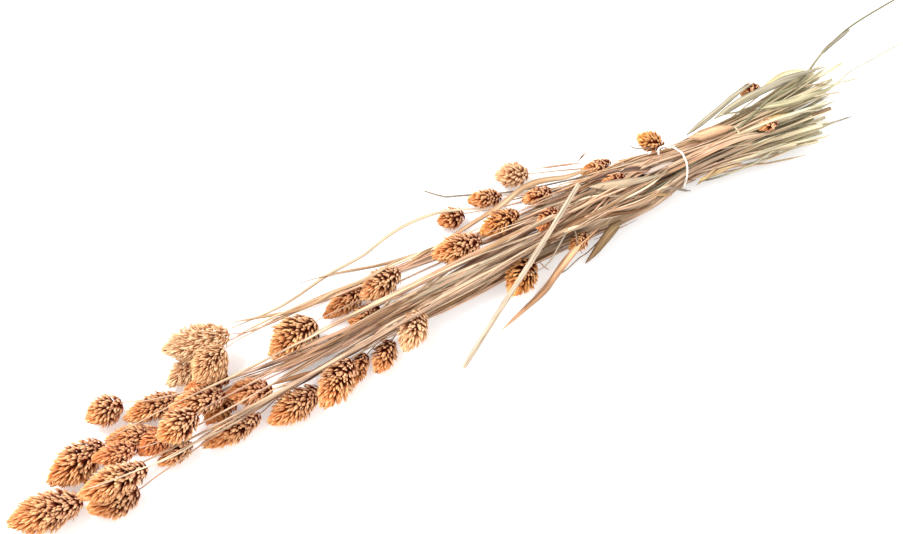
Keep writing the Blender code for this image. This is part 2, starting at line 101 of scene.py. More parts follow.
def readStem(node):
    rings = ringsFromEnd(node, 4 * mm)
    culm = [ring.mean(axis=0) for ring in rings if 1 < len(ring) < 10]
    head = [ring for ring in rings if len(ring) == 10]
    tip, base = rings[-1][0], culm[-1]
    axis = (tip - base) / np.linalg.norm(tip - base)
    shares, radii = [0.0], [0.9 * mm]
    for ring in head:
        middle = ring.mean(axis=0)
        shares.append((middle - base) @ axis / np.linalg.norm(tip - base))
        radii.append(np.linalg.norm(ring - middle, axis=1).mean())
    return {
        "node": node,
        "culm": np.array(culm[::-1]),
        "tip": tip,
        "base": base,
        "axis": axis,
        "length": np.linalg.norm(tip - base),
        "shares": np.array(shares + [1.0]),
        "radii": np.array(radii + [0.2 * mm]),
        "radius": max(radii),
    }


def readStalk(node):
    rings = ringsFromEnd(node, 4 * mm)
    line = np.array([ring.mean(axis=0) for ring in rings])
    radii = [np.linalg.norm(ring - ring.mean(axis=0), axis=1).mean() for ring in rings if len(ring) == 5]
    return line, radii[0], radii[-1]


def readLeaf(node):
    rings = ringsFromEnd(node, 0.5 * mm)
    line = np.array([ring.mean(axis=0) for ring in rings])
    halves = [0.3 * mm]
    for ring in rings[1:-1]:
        halves.append(max(np.linalg.norm(a - b) for a in ring for b in ring) / 2)
    return line, np.array(halves + [0.3 * mm])


stems = [readStem(node) for node in sorted(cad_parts) if node.startswith("flowering")]
tieLow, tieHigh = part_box("tie")
tieMiddle = np.array((tieLow + tieHigh) / 2)
print("read", len(stems), "stems")


# lines and sweeps

def smoothLine(points, spacing):
    points = np.array(points, float)
    before = np.vstack([2 * points[0] - points[1], points[:-1]])
    after = np.vstack([points[1:], 2 * points[-1] - points[-2]])
    slopes = (after - before) / 2
    fine = [points[:1]]
    for i in range(len(points) - 1):
        t = np.linspace(0, 1, 9)[1:, None]
        fine.append(
            (2 * t**3 - 3 * t**2 + 1) * points[i]
            + (t**3 - 2 * t**2 + t) * slopes[i]
            + (3 * t**2 - 2 * t**3) * points[i + 1]
            + (t**3 - t**2) * slopes[i + 1]
        )
    fine = np.vstack(fine)
    run = np.concatenate([[0], np.cumsum(np.linalg.norm(np.diff(fine, axis=0), axis=1))])
    count = max(3, round(run[-1] / spacing) + 1)
    at = np.linspace(0, run[-1], count)
    return np.stack([np.interp(at, run, fine[:, k]) for k in range(3)], axis=1)


def runOf(line):
    return np.concatenate([[0], np.cumsum(np.linalg.norm(np.diff(line, axis=0), axis=1))])


def framesAlong(line, up=(0, 0, 1)):
    forward = np.gradient(line, axis=0)
    forward /= np.linalg.norm(forward, axis=1)[:, None]
    up = np.array(up, float)
    ups = []
    for way in forward:
        up = up - way * (up @ way)
        up = up / np.linalg.norm(up)
        ups.append(up)
    ups = np.array(ups)
    return ups, np.cross(forward, ups)


def slowNoise(rng, count, knots):
    # smooth wandering between about -1 and 1
    places = np.linspace(0, 1, max(2, knots))
    values = rng.uniform(-1, 1, len(places))
    t = np.linspace(0, 1, count)
    spot = np.clip(np.searchsorted(places, t) - 1, 0, len(places) - 2)
    share = (t - places[spot]) * (len(places) - 1)
    share = share * share * (3 - 2 * share)
    return values[spot] * (1 - share) + values[spot + 1] * share


class Gathered:
    # the parts of one piece, before they become its mesh
    def __init__(self, name):
        self.name = name
        self.count = 0
        self.points, self.dyes, self.grains, self.faces, self.slots = [], [], [], [], []

    def add(self, points, dyes, grains, faceBlocks, slot=0):
        self.points.append(points)
        self.dyes.append(np.broadcast_to(dyes, (len(points), 3)))
        self.grains.append(grains)
        for block in faceBlocks:
            self.faces.append(block + self.count)
            self.slots.append(np.full(len(block), slot))
        self.count += len(points)

    def build(self, finishes, replaced=(), sharp=42):
        mesh = bpy.data.meshes.new(self.name)
        faces = [face for block in self.faces for face in block.tolist()]
        points = np.vstack(self.points)
        # nothing goes through the floor or far above the solids
        points[:, 2] = np.clip(points[:, 2], 0.05 * mm, solidHigh[2] + 1.1 * mm)
        mesh.from_pydata(points.tolist(), [], faces)
        for finish in finishes:
            mesh.materials.append(finish)
        mesh.polygons.foreach_set("material_index", np.concatenate(self.slots))
        # each point's colour, with painted light and shade multiplied in where the pieces ask for it
        dye = mesh.color_attributes.new("dye", "FLOAT_COLOR", "POINT")
        colours = np.ones((self.count, 4), np.float32)
        colours[:, :3] = np.clip(np.vstack(self.dyes), 0, 1)
        dye.data.foreach_set("color", colours.ravel())
        corners = np.zeros(len(mesh.loops), np.int32)
        mesh.loops.foreach_get("vertex_index", corners)
        grain = mesh.uv_layers.new(name="grain")
        grain.data.foreach_set("uv", np.vstack(self.grains)[corners].astype(np.float32).ravel())
        mesh.shade_smooth()
        mesh.set_sharp_from_angle(angle=math.radians(sharp))
        mesh.update()
        piece = bpy.data.objects.new(self.name, mesh)
        bpy.context.scene.collection.objects.link(piece)
        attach(piece, "root")
        for node in replaced:
            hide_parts(node)
        return piece


def sweep(piece, line, outlines, dyes, slot=0, up=(0, 0, 1), twist=None, grainStart=0.0, under=1.0,
          across=None, frames=None):
    # outlines: for each point of the line, a closed outline of (side, up) pairs in metres
    # the underside shade darkens the colour of the underside, a painted shade, down to the given share;
    # across: a multiplier on the colour for each point of the outline
    count, around = outlines.shape[:2]
    ups, sides = frames or framesAlong(line, up)
    if twist is not None:
        turned = np.cos(twist)[:, None] * ups + np.sin(twist)[:, None] * sides
        sides = np.cos(twist)[:, None] * sides - np.sin(twist)[:, None] * ups
        ups = turned
    points = line[:, None] + outlines[..., :1] * sides[:, None] + outlines[..., 1:] * ups[:, None]
    points = points.reshape(-1, 3)
    edge = np.linalg.norm(np.roll(outlines, -1, axis=1) - outlines, axis=2)
    girth = np.concatenate([np.zeros((count, 1)), np.cumsum(edge, axis=1)[:, :-1]], axis=1)
    along = np.repeat((runOf(line) + grainStart)[:, None], around, axis=1)
    grains = np.stack([girth, along], axis=2).reshape(-1, 2) / mm
    dyes = np.repeat(dyes[:, None], around, axis=1)
    if across is not None:
        dyes = dyes * np.array(across)[None, :, None]
    dyes = dyes.reshape(-1, 3)
    # painted shade: points below the line's middle get a darker colour
    if under < 1:
        reach = np.abs(outlines).max(axis=(1, 2))[:, None]
        rise = (points.reshape(count, around, 3)[..., 2] - line[:, None, 2]) / reach
        dyes = dyes * np.interp(rise, (-0.8, 0.1, 0.8), (under, 0.5 + 0.5 * under, 1)).reshape(-1, 1)
    ring = np.arange(around)
    starts = (np.arange(count - 1) * around)[:, None]
    after = (ring + 1) % around
    quads = np.stack([starts + ring, starts + after, starts + around + after, starts + around + ring], axis=2)
    quads = quads.reshape(-1, 4)
    blocks = [quads[:, ::-1], ring[None], (ring + (count - 1) * around)[None, ::-1]]
    piece.add(points, dyes, grains, blocks, slot)


def roundOutlines(radii, sides, rng=None, rough=0.0):
    turn = np.arange(sides) / sides * 2 * math.pi
    circle = np.stack([np.cos(turn), np.sin(turn)], axis=1)
    outlines = radii[:, None, None] * circle[None]
    if rng is not None and rough:
        outlines = outlines * (1 + rough * rng.uniform(-1, 1, (len(radii), sides, 1)))
    return outlines


def bladeOutlines(halves, fold, thick):
    # a thin strip, folded along its middle by the given depth at each point
    x = np.array((-1, -0.5, 0, 0.5, 1, 0.5, 0, -0.5))
    ridge = np.array((0, 0.5, 1, 0.5, 0, 0.5, 1, 0.5))
    skin = np.array((0, 0.5, 0.5, 0.5, 0, -0.5, -0.5, -0.5))
    side = halves[:, None] * x
    up = fold[:, None] * ridge + thick * skin
    return np.stack([side, up], axis=2)


def mixed(a, b, share):
    share = np.asarray(share)[..., None]
    return np.array(a) * (1 - share) + np.array(b) * share


# finishes

def shaderOf(name):
    finish = bpy.data.materials.new(name)
    finish.use_nodes = True
    return finish, finish.node_tree.nodes, finish.node_tree.links


def stretchedNoise(nodes, links, coords, scale, detail, roughness=0.6):
    mapping = nodes.new("ShaderNodeMapping")
    mapping.inputs["Scale"].default_value = scale
    links.new(coords, mapping.inputs["Vector"])
    noise = nodes.new("ShaderNodeTexNoise")
    noise.inputs["Scale"].default_value = 1.0
    noise.inputs["Detail"].default_value = detail
    noise.inputs["Roughness"].default_value = roughness
    links.new(mapping.outputs["Vector"], noise.inputs["Vector"])
    return noise.outputs["Fac"]


def rampOf(nodes, links, value, stops):
    ramp = nodes.new("ShaderNodeValToRGB")
    while len(ramp.color_ramp.elements) < len(stops):
        ramp.color_ramp.elements.new(0.5)
    for element, (place, colour) in zip(ramp.color_ramp.elements, stops):
        element.position = place
        element.color = (*colour, 1)
    links.new(value, ramp.inputs["Fac"])
    return ramp.outputs["Color"]


def multiplied(nodes, links, first, second):
    mix = nodes.new("ShaderNodeMix")
    mix.data_type = "RGBA"
    mix.blend_type = "MULTIPLY"
    mix.inputs["Factor"].default_value = 1.0
    links.new(first, mix.inputs["A"])
    links.new(second, mix.inputs["B"])
    return mix.outputs["Result"]


def fibreFinish(name, look):
    # dry plant skin: its dye, which carries the painted light and shade multiplied in when the pieces were
    # built, darker fibres along the grain, soft blotches, and a fine ribbed bump
    finish, nodes, links = shaderOf(name)
    shader = nodes["Principled BSDF"]
    dye = nodes.new("ShaderNodeAttribute")
    dye.attribute_name = "dye"
    grain = nodes.new("ShaderNodeUVMap")
    grain.uv_map = "grain"
    fibres = stretchedNoise(nodes, links, grain.outputs["UV"], (look["fibresPerMm"], look["fibreRun"], 1), 2)
    dark = 1 - look["fibreDepth"]
    stops = [(0.34, (dark, dark * 0.93, dark * 0.88)), (0.62, (1.08, 1.08, 1.08))]
    fibreShade = rampOf(nodes, links, fibres, stops)
    patches = stretchedNoise(nodes, links, grain.outputs["UV"], (0.25, 0.05, 1), 3)
    patchShade = rampOf(nodes, links, patches, [(0.3, look["patchLow"]), (0.7, look["patchHigh"])])
    colour = multiplied(nodes, links, dye.outputs["Color"], fibreShade)
    colour = multiplied(nodes, links, colour, patchShade)
    links.new(colour, shader.inputs["Base Color"])
    shader.inputs["Roughness"].default_value = look["roughness"]
    shader.inputs["Specular IOR Level"].default_value = look["shine"]
    bump = nodes.new("ShaderNodeBump")
    bump.inputs["Strength"].default_value = look["bump"]
    bump.inputs["Distance"].default_value = 0.15 * mm
    links.new(fibres, bump.inputs["Height"])
    links.new(bump.outputs["Normal"], shader.inputs["Normal"])
    return finish


fibreLooks = {
    "bract": {
        "fibresPerMm": 3.0, "fibreRun": 0.5, "fibreDepth": 0.2, "roughness": 0.8, "shine": 0.08,
        "bump": 0.4, "patchLow": (0.9, 0.84, 0.78), "patchHigh": (1.1, 1.08, 1.0),
    },
    "straw": {
        "fibresPerMm": 1.2, "fibreRun": 0.03, "fibreDepth": 0.55, "roughness": 0.55, "shine": 0.3,
        "bump": 0.6, "patchLow": (0.84, 0.8, 0.78), "patchHigh": (1.1, 1.07, 1.02),
    },
    "blade": {
        "fibresPerMm": 1.2, "fibreRun": 0.03, "fibreDepth": 0.5, "roughness": 0.6, "shine": 0.25,
        "bump": 0.7, "patchLow": (0.82, 0.78, 0.74), "patchHigh": (1.1, 1.08, 1.03),
    },
    "twine": {
        "fibresPerMm": 4.0, "fibreRun": 0.6, "fibreDepth": 0.22, "roughness": 0.85, "shine": 0.15,
        "bump": 0.6, "patchLow": (0.94, 0.92, 0.9), "patchHigh": (1.04, 1.03, 1.02),
    },
}
bractFinish = fibreFinish("driedBract", fibreLooks["bract"])
strawFinish = fibreFinish("driedStraw", fibreLooks["straw"])
bladeFinish = fibreFinish("driedBlade", fibreLooks["blade"])
twineFinish = fibreFinish("cottonTwine", fibreLooks["twine"])


# seed heads

headLook = {
    "scaleArea": 3.5,        # mm2 of the head's surface for each bract
    "scaleHalf": 0.74,       # mm, half the width of a bract
    "scaleKeel": 0.95,       # mm, how high its keel stands
    "scaleLong": 7.8,        # mm on the larger heads
    "bow": 0.1,              # how far a bract bows out, in shares of its length
    "coreShare": 0.36,       # of the head's radius
    "tilts": (78, 62, 42, 14),   # degrees from the head's axis, from its base to its tip
    "reach": 1.08,           # how far the points stand, in shares of the head's radius
    "reachSpread": 0.095,    # how far that varies
    "longSpread": 0.16,      # how far a bract's length varies
    "jitter": 0.14,          # how far a bract is off its place round the head, in radians
    "blunt": 0.8,            # how wide the head is near its base, in shares of its radius
    "baseWide": 1.3,         # bracts near the base are wider and flatter than the rest
    "baseKeel": 0.6,
    "ringEvery": 2.1,        # mm between the rings that the bracts near the base stand in
    "ringJitter": 0.08,      # in shares of that
    "brush": 2.0,            # mm, how far the last points spread
    "roll": 0.25,            # how far a bract is turned on itself, in radians
    # painted shade: this and the straw heads' dark colour below stand for the shade in the gaps between the
    # bracts, at their roots and on the core
    "paintedGapShade": (0.15, 0.02, 0.008),
    "middle": (0.95, 0.31, 0.09),
    "point": (1.0, 0.66, 0.34),
    "baseRose": (1.0, 0.66, 0.47),
    "straw": (1.0, 0.85, 0.61),
    "strawPaintedGapShade": (0.80, 0.42, 0.20),
    "red": (0.84, 0.20, 0.06),
    "yellow": (0.96, 0.48, 0.10),
}

# How a head differs from the rest: its shares of straw, red, yellow and painted shade in its gaps, and how
# slim, how close to its axis and how ragged its bracts are
plainHead = {"straw": 0.0, "red": 0.0, "yellow": 0.0, "dark": 0.0, "slim": 1.0, "close": 1.0, "ragged": 1.0}
headDyes = {
    8: {"red": 0.5},
    10: {"red": 0.75},
    12: {"straw": 0.85, "slim": 0.55, "close": 0.85, "ragged": 1.7},
    13: {"straw": 0.8, "slim": 0.55, "close": 0.85, "ragged": 1.7},
    14: {"straw": 0.5, "yellow": 0.3, "slim": 0.62, "close": 0.88, "ragged": 1.5},
    15: {"red": 0.5},
    16: {"red": 0.35},
    18: {"red": 0.3, "yellow": 0.4},
    20: {"yellow": 0.35, "straw": 0.15},
    22: {"straw": 0.2},
    26: {"red": 0.3, "yellow": 0.3},
    28: {"straw": 0.5},
    32: {"straw": 0.5},
    33: {"red": 0.3, "yellow": 0.5},
    35: {"yellow": 0.7},
    36: {"red": 0.5, "dark": 0.5},
    37: {"yellow": 0.35},
    39: {"yellow": 0.7},
    42: {"red": 0.5, "dark": 0.6},
}

scaleStations = np.array((0.0, 0.25, 0.5, 0.74, 0.9))
scaleWidths = np.array((0.4, 0.9, 1.0, 0.64, 0.27))
baseWidths = np.array((0.5, 0.8, 1.0, 0.88, 0.55))
scaleSection = np.array(((-1, -0.35), (-0.5, 0.35), (0, 1), (0.5, 0.35), (1, -0.35)))
# painted shade: each bract's edges stay darker than its keel
paintedScaleShadeAcross = np.array((0.15, 0.6, 1.0, 0.6, 0.15))


def headRadius(stem, shares):
    return np.interp(shares, stem["shares"], stem["radii"])


def roundedRadius(stem, shares):
    # the solid's outline without its corners, and blunt at its base
    rounded = sum(headRadius(stem, np.clip(shares + step, 0, 1)) for step in (-0.06, 0, 0.06)) / 3
    early = np.clip(1 - shares / 0.28, 0, 1)
    blunt = headLook["blunt"] * stem["radius"] * np.sqrt(1 - early**2)
    return np.maximum(rounded, blunt * (shares < 0.4))


def acrossHead(stem):
    first = np.cross(stem["axis"], (0, 0, 1))
    first /= np.linalg.norm(first)
    return first, np.cross(stem["axis"], first)


def bractPlaces(stem, look, rng):
    # where each bract starts and ends: in a spiral, and nearly in rings on the lower half of the head
    length, axis = stem["length"], stem["axis"]
    first, second = acrossHead(stem)
    fine = np.linspace(0, 1, 60)
    ringArea = roundedRadius(stem, fine) + 0.8 * mm
    area = np.concatenate([[0], np.cumsum((ringArea[1:] + ringArea[:-1]) / 2 * np.diff(fine) * length)])
    size = min(1.0, 0.62 + 0.38 * stem["radius"] / (9 * mm))   # smaller bracts on a smaller head
    count = int(area[-1] * 2 * math.pi / mm**2 / (headLook["scaleArea"] * size**2 * look["slim"]))
    order = (np.arange(count) + 0.5) / count
    share = np.interp(order * area[-1], area, fine) * 0.95 - 0.02
    every = headLook["ringEvery"] * mm * size / length
    ringed = (np.round(share / every) + rng.normal(0, headLook["ringJitter"], count)) * every
    share = np.where(share < 0.5, ringed, share)
    turn = np.arange(count) * goldenTurn + rng.normal(0, headLook["jitter"], count)
    outward = np.cos(turn)[:, None] * first + np.sin(turn)[:, None] * second

    tilt = np.radians(np.interp(share, (0, 0.4, 0.75, 1), headLook["tilts"]))
    tilt = tilt * look["close"] * (1 + rng.normal(0, 0.1 * look["ragged"], count))
    spread = headLook["longSpread"] * look["ragged"]
    long = headLook["scaleLong"] * mm * size * (1 + rng.normal(0, spread, count)) * (0.6 + 0.4 * look["slim"])
    tipShare = share + long * np.cos(tilt) / length
    tipShare = np.minimum(tipShare, 0.91 + rng.uniform(0, 0.11, count))
    tipRadius = roundedRadius(stem, np.clip(tipShare, 0, 1))
    uneven = rng.normal(0, headLook["reachSpread"] * look["ragged"], count)
    tipRadius = tipRadius * (headLook["reach"] + uneven)
    tipRadius = np.maximum(tipRadius, rng.uniform(0.3, headLook["brush"], count) * mm)
    tips = stem["base"] + axis * (tipShare * length)[:, None] + outward * tipRadius[:, None]
    # the lowest points lie on the floor
    tips[:, 2] = np.maximum(tips[:, 2], rng.uniform(0.3, 0.9, count) * mm)
    rootRadius = np.maximum(tipRadius - long * np.sin(tilt), headRadius(stem, np.clip(share, 0, 1)) * 0.3)
    roots = stem["base"] + axis * (share * length)[:, None] + outward * rootRadius[:, None]
    return roots, tips, outward, share, size


def bractPoints(roots, tips, outward, share, size, look, rng):
    # a keeled scale from its root to its point, bowed outward
    count = len(share)
    way = tips - roots
    wayLong = np.linalg.norm(way, axis=1)
    forward = way / wayLong[:, None]
    normal = outward - forward * (outward * forward).sum(axis=1)[:, None]
    normal /= np.linalg.norm(normal, axis=1)[:, None]
    across = np.cross(forward, normal)
    roll = rng.normal(0, headLook["roll"], count)[:, None]
    rolled = normal * np.cos(roll) + across * np.sin(roll)
    across = across * np.cos(roll) - normal * np.sin(roll)
    normal = rolled

    early = np.clip((0.62 - share) / 0.2, 0, 1)
    half = headLook["scaleHalf"] * mm * size * look["slim"] * (1 + rng.normal(0, 0.1, count))
    half = half * (1 + (headLook["baseWide"] - 1) * early)
    keel = headLook["scaleKeel"] * mm * size * look["slim"] * (1 + rng.normal(0, 0.15, count))
    keel = keel * (1 + (headLook["baseKeel"] - 1) * early)
    widths = mixed(scaleWidths, baseWidths, early)
    u = scaleStations
    bow = (4 * u * (1 - u) * headLook["bow"])[None, :, None] * wayLong[:, None, None] * normal[:, None]
    middle = roots[:, None] + way[:, None] * u[None, :, None] + bow
    wide = widths[:, :, None, None] * scaleSection[None, None, :, :1] * half[:, None, None, None]
    high = widths[:, :, None, None] * scaleSection[None, None, :, 1:] * keel[:, None, None, None]
    rings = middle[:, :, None] + wide * across[:, None, None] + high * normal[:, None, None]
    return np.concatenate([rings.reshape(count, -1, 3), tips[:, None]], axis=1)


def bractDyes(share, look, rng):
    # painted shade: dark at the root, where the gaps between the bracts are, and darker towards the edges
    # than on the keel; lighter to the point, and the dark root shorter in the head's upper half
    alongShare = np.concatenate([np.repeat(scaleStations, len(scaleSection)), [1.0]])
    paintedShadeAcross = np.concatenate([np.tile(paintedScaleShadeAcross, len(scaleStations)), [0.9]])
    tone = rng.normal(0, 1, len(share))[:, None]
    placed = np.clip(share, 0, 1)[:, None]
    late = np.clip((placed - 0.35) / 0.4, 0, 1)
    start = 0.52 + 0.12 * look["dark"] - 0.32 * late
    rise = np.clip((alongShare[None] - start) / (0.26 + 0.1 * late), 0, 1)
    rise = np.clip(rise * (0.65 + 0.4 * paintedShadeAcross) + 0.05 * tone, 0, 1)
    pointy = np.clip((alongShare - 0.5) / 0.4, 0, 1)[None] * (0.75 + 0.15 * tone)
    body = mixed(headLook["middle"], headLook["point"], np.clip(pointy + 0.2 * placed, 0, 1))
    rose = np.clip(1 - placed / 0.6, 0, 1) * 0.7
    body = mixed(body, headLook["baseRose"], rose * np.clip(alongShare * 1.3, 0, 1)[None])
    for name, most in (("straw", 1), ("red", 0.55), ("yellow", 0.6)):
        body = mixed(body, headLook[name], most * look[name] * np.ones(body.shape[:2]))
    paintedGapShade = mixed(headLook["paintedGapShade"], np.array(headLook["middle"]) * 0.55, 0.75 * late)
    paintedGapShade = mixed(paintedGapShade, headLook["strawPaintedGapShade"], look["straw"] * np.ones(len(share))[:, None])
    dyes = paintedGapShade * (1 - rise[..., None]) + body * rise[..., None]
    return dyes * (1 + 0.07 * tone[..., None])


def bractGrains(count):
    # each bract has its own stretch of grain
    side = np.concatenate([np.tile(scaleSection[:, 0] * 1.2, len(scaleStations)), [0]])
    along = np.concatenate([np.repeat(scaleStations, len(scaleSection)), [1.0]]) * 7
    shift = np.arange(count)[:, None] * 3.7
    return np.stack([side + shift, along + 0 * shift], axis=2)


def bractFaces(count):
    sides = len(scaleSection)
    ring = np.arange(sides)
    after = (ring + 1) % sides
    step = np.stack([ring, after, sides + after, sides + ring], axis=1)
    quads = np.concatenate([step + sides * i for i in range(len(scaleStations) - 1)])
    last = sides * (len(scaleStations) - 1)
    tip = last + sides
    cap = np.stack([last + ring, last + after, np.full(sides, tip)], axis=1)
    starts = (np.arange(count) * (tip + 1))[:, None, None]
    return [
        (quads[None] + starts).reshape(-1, 4),
        (cap[None] + starts).reshape(-1, 3),
        (ring[::-1][None, None] + starts).reshape(-1, sides),
    ]


def addHead(stem, number, piece):
    rng = np.random.default_rng(1000 + number)
    look = {**plainHead, **headDyes.get(number, {})}
    roots, tips, outward, share, size = bractPlaces(stem, look, rng)
    points = bractPoints(roots, tips, outward, share, size, look, rng).reshape(-1, 3)
    dyes = bractDyes(share, look, rng).reshape(-1, 3)
    piece.add(points, dyes, bractGrains(len(share)).reshape(-1, 2), bractFaces(len(share)))

    # the core that shows between the bracts, coloured with the painted gap shade so it reads as shade
    shares = np.linspace(0, 0.94, 9)
    line = stem["base"] + stem["axis"] * (shares * stem["length"])[:, None]
    radii = np.maximum(roundedRadius(stem, shares) * headLook["coreShare"], 0.7 * mm)
    core = np.repeat(np.array([headLook["paintedGapShade"]]) * 1.4, len(line), axis=0)
    sweep(piece, line, roundOutlines(radii, 10), core, up=acrossHead(stem)[0])


# culms

culmLook = {
    "step": 6.0,                      # mm between rings
    "sides": 8,
    "neckRadius": 0.36,               # mm, just below the seed head
    "buttRadius": 0.98,               # mm
    "buttCut": (0, 13),               # mm taken off the solid's length
    "neckLength": 200,                # mm over which it grows thicker
    "nodeEvery": (95, 150),           # mm between the joints of a culm
    "nodeSwell": 0.25,
    "sheathThick": 0.22,              # mm that a sheath adds
    # painted shade: how dark the culm's underside is made
    "under": 0.48,                    # shade of the underside
    "pale": (0.86, 0.66, 0.47),
    "rose": (0.76, 0.46, 0.32),
    "tan": (0.58, 0.36, 0.20),
    "grey": (0.44, 0.36, 0.28),
    "green": (0.93, 0.89, 0.61),
    "jointDye": (0.28, 0.15, 0.08),
    "greenFrom": 0.02,                # m past the tie, where the butts turn green
    "greenFull": 0.095,
}
# painted light and shade: a strand's colour is lightened where it lies on top of the pile and darkened the
# deeper it lies inside it
paintedPileLightAndShadeStops = ((0.5, 3, 9), (1.1, 0.9, 0.5))   # mm inside the pile, and the shade there


def meshTree(nodes):
    points, faces = [], []
    for node in nodes:
        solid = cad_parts[node]
        faces += [[index + len(points) for index in polygon.vertices] for polygon in solid.data.polygons]
        points += [solid.matrix_world @ vertex.co for vertex in solid.data.vertices]
    return BVHTree.FromPolygons(points, faces)


def topOf(x, y, lost=0.0):
    hit = pileTree.ray_cast((x, y, 0.2), (0, 0, -1))[0]
    return hit.z if hit else lost


def bottomOf(x, y, lost=0.0):
    hit = pileTree.ray_cast((x, y, -0.1), (0, 0, 1))[0]
    return hit.z if hit else lost


# painted light and shade from how deep in the pile each point lies
def paintedPileLightAndShade(line):
    depth = [min(topOf(x, y, z) - z, z - bottomOf(x, y, z)) for x, y, z in line]
    return np.interp(np.array(depth) / mm, *paintedPileLightAndShadeStops)[:, None]


def culmDyeWithPaintedShade(line, rng):
    count = len(line)
    first = mixed(culmLook["pale"], culmLook["rose"], rng.uniform(0, 1))
    second = mixed(culmLook["tan"], culmLook["grey"], rng.uniform(0, 1) ** 2)
    wander = 0.5 + 0.5 * slowNoise(rng, count, count // 6)
    dye = mixed(first, second, np.clip(wander * rng.uniform(0.2, 1.0), 0, 1))
    past = line[:, 0] - tieMiddle[0] - culmLook["greenFrom"]
    greenness = np.clip(past / (culmLook["greenFull"] - culmLook["greenFrom"]), 0, 1) * rng.uniform(0.7, 1.0)
    dye = mixed(dye, culmLook["green"], greenness)
    # random tone, times the painted light and shade of the pile
    return dye * rng.uniform(0.8, 1.12) * paintedPileLightAndShade(line)


def addCulm(piece, line, rng):
    fine = smoothLine(line, culmLook["step"] * mm)
    run = runOf(fine)
    fine = fine[run < run[-1] - rng.uniform(*culmLook["buttCut"]) * mm]
    run = runOf(fine)
    count = len(fine)
    grown = np.clip(run / (culmLook["neckLength"] * mm), 0, 1)
    radii = (culmLook["neckRadius"] + (culmLook["buttRadius"] - culmLook["neckRadius"]) * grown) * mm
    radii = radii * (1 + 0.07 * slowNoise(rng, count, count // 3)) * rng.uniform(0.8, 1.12)
    dye = culmDyeWithPaintedShade(fine, rng)
    place = rng.uniform(60, 120) * mm
    while place < run[-1] - 12 * mm:
        near = np.exp(-((run - place) / (3.5 * mm)) ** 2)
        radii = radii * (1 + culmLook["nodeSwell"] * near)
        dye = mixed(dye, culmLook["jointDye"], 0.8 * near)
        sheath = (run > place) & (run < place + rng.uniform(35, 80) * mm)
        radii = radii + sheath * culmLook["sheathThick"] * mm
        dye = dye * (1 + 0.1 * sheath[:, None])
        place += rng.uniform(*culmLook["nodeEvery"]) * mm
    outlines = roundOutlines(radii, culmLook["sides"], rng, 0.06)
    flat = rng.uniform(0.8, 1.0)
    outlines = outlines * np.array((1 / flat**0.5, flat**0.5))
    twist = slowNoise(rng, count, max(2, count // 12)) * 1.2

    # the hollow end: the rim turns in, then the bore runs back into the culm
    rim = outlines[-1:] * 0.55
    way = (fine[-1] - fine[-2]) / np.linalg.norm(fine[-1] - fine[-2])
    frames = framesAlong(np.vstack([fine, fine[-1:] + way * mm, fine[-1:] + 2 * way * mm]))
    fine = np.vstack([fine, fine[-1:] + way * 0.05 * mm, fine[-1:] - way * 1.6 * mm])
    outlines = np.concatenate([outlines, rim, rim * 0.9])
    # painted shade: the rim is darkened a little and the bore inside the hollow end nearly to black
    dye = np.vstack([dye, dye[-1:] * 0.8, dye[-1:] * 0.15])
    twist = np.concatenate([twist, twist[-1:], twist[-1:]])
    sweep(piece, fine, outlines, dye, 1, twist=twist, frames=frames, grainStart=rng.uniform(0, 1),
          under=culmLook["under"])


pileTree = meshTree([stem["node"] for stem in stems])
for number, stem in enumerate(stems, 1):
    piece = Gathered(f"canaryStem{number:02d}")
    addHead(stem, number, piece)
    rng = np.random.default_rng(number)
    neck = stem["base"] + stem["axis"] * 2.5 * mm
    addCulm(piece, np.vstack([neck, stem["culm"]]), rng)
    piece.build([bractFinish, strawFinish], [stem["node"]])
print("made the flowering stems")


# loose straws and blades that fill the bundle

looseLook = {
    "straws": 110,                   # thin round straws beside the culms
    "blades": 60,                    # folded leaf blades beside the culms
    "drapedStraws": 100,             # straws that lie across the top
    "drapedBlades": 40,              # blades that lie across the top
    "strawRadius": (0.35, 0.8),      # mm
    "bladeHalf": (0.6, 1.6),         # mm
    "lengths": (90, 280),            # mm
    "drapedLengths": (70, 210),      # mm
    "slope": 0.055,                  # how far a draped one turns away from the culms
    "pileFrom": 6,                   # mm, how high the pile is where they lie
    "fanStraws": 64,                 # thin straws that stick out past the tie
    "fanSides": (-27, 21),           # mm, where their ends lie beside the tie's middle
    "fanReach": 101,                 # mm past the tie, less on the side that is turned down
    "range": (-0.2, 0.245),          # m along x
    "offset": (1.5, 3.0),            # mm from the culm that each runs beside
    "clear": 0.85,                   # how far they stay from the seed heads, in shares of a head's radius
}
looseDyes = {
    "cream": (0.90, 0.73, 0.53),
    "beige": (0.74, 0.52, 0.34),
    "pink": (0.78, 0.47, 0.31),
    "tan": (0.52, 0.31, 0.16),
    "umber": (0.25, 0.12, 0.055),
    "ochre": (0.66, 0.42, 0.18),
    "green": (0.90, 0.86, 0.58),
    "gold": (0.80, 0.60, 0.28),
    "ash": (0.36, 0.33, 0.27),
    "grey": (0.62, 0.52, 0.46),
    "bark": (0.26, 0.15, 0.10),
}
# umber straws are partly dark straws of the bundle and partly dark lines that stand in for the shade between
# strands
dyeNames = ("cream", "beige", "pink", "tan", "umber", "ochre")
firstChances = (0.27, 0.24, 0.22, 0.10, 0.14, 0.03)
secondChances = (0.22, 0.26, 0.22, 0.14, 0.13, 0.03)


